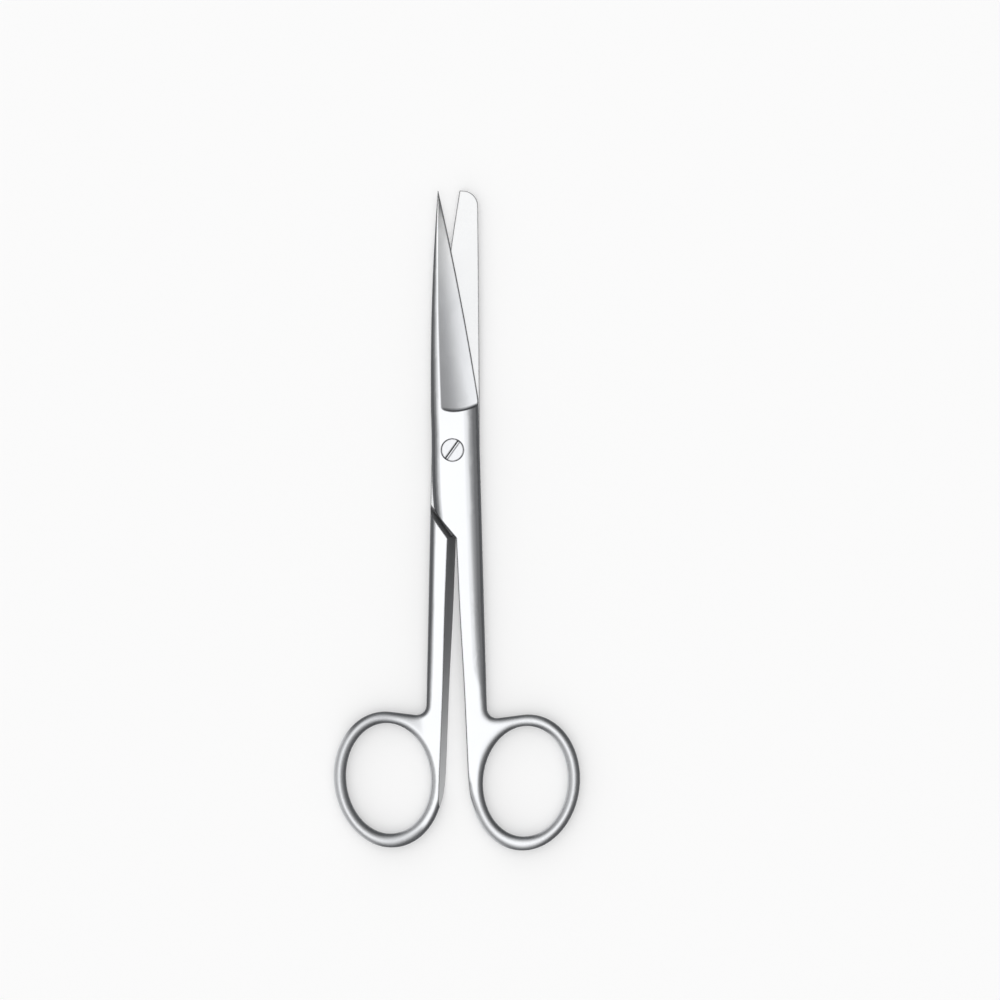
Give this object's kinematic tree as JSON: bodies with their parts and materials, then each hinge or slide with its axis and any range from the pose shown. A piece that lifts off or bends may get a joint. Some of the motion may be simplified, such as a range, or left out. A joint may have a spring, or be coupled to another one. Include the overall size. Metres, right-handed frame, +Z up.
{
  "type": "operating scissors",
  "caption": "Straight steel operating scissors with one sharp and one blunt blade, a slotted pivot screw and finger rings.",
  "frame": {"origin": "on the pivot screw's axis, at the underside of the joint, where the scissors rest", "axes": "+Y towards the blade tips, +Z up out of the screw's slotted head, +X towards the sharp half's finger ring"},
  "size_m": [0.0542, 0.1452, 0.0044],
  "materials": {
    "forged_steel": "satin",
    "screw_steel": "satin"
  },
  "bodies": {
    "blunt_side": {"blunt_half": "forged_steel", "pivot_screw": "screw_steel"},
    "sharp_side": {"sharp_half": "forged_steel"}
  },
  "joints": [
    {"name": "pivot", "type": "hinge", "parent": "blunt_side", "child": "sharp_side", "pos_m": [0, 0, 0], "axis": [0, 0, 1], "range_deg": [-4.8, 120]}
  ]
}
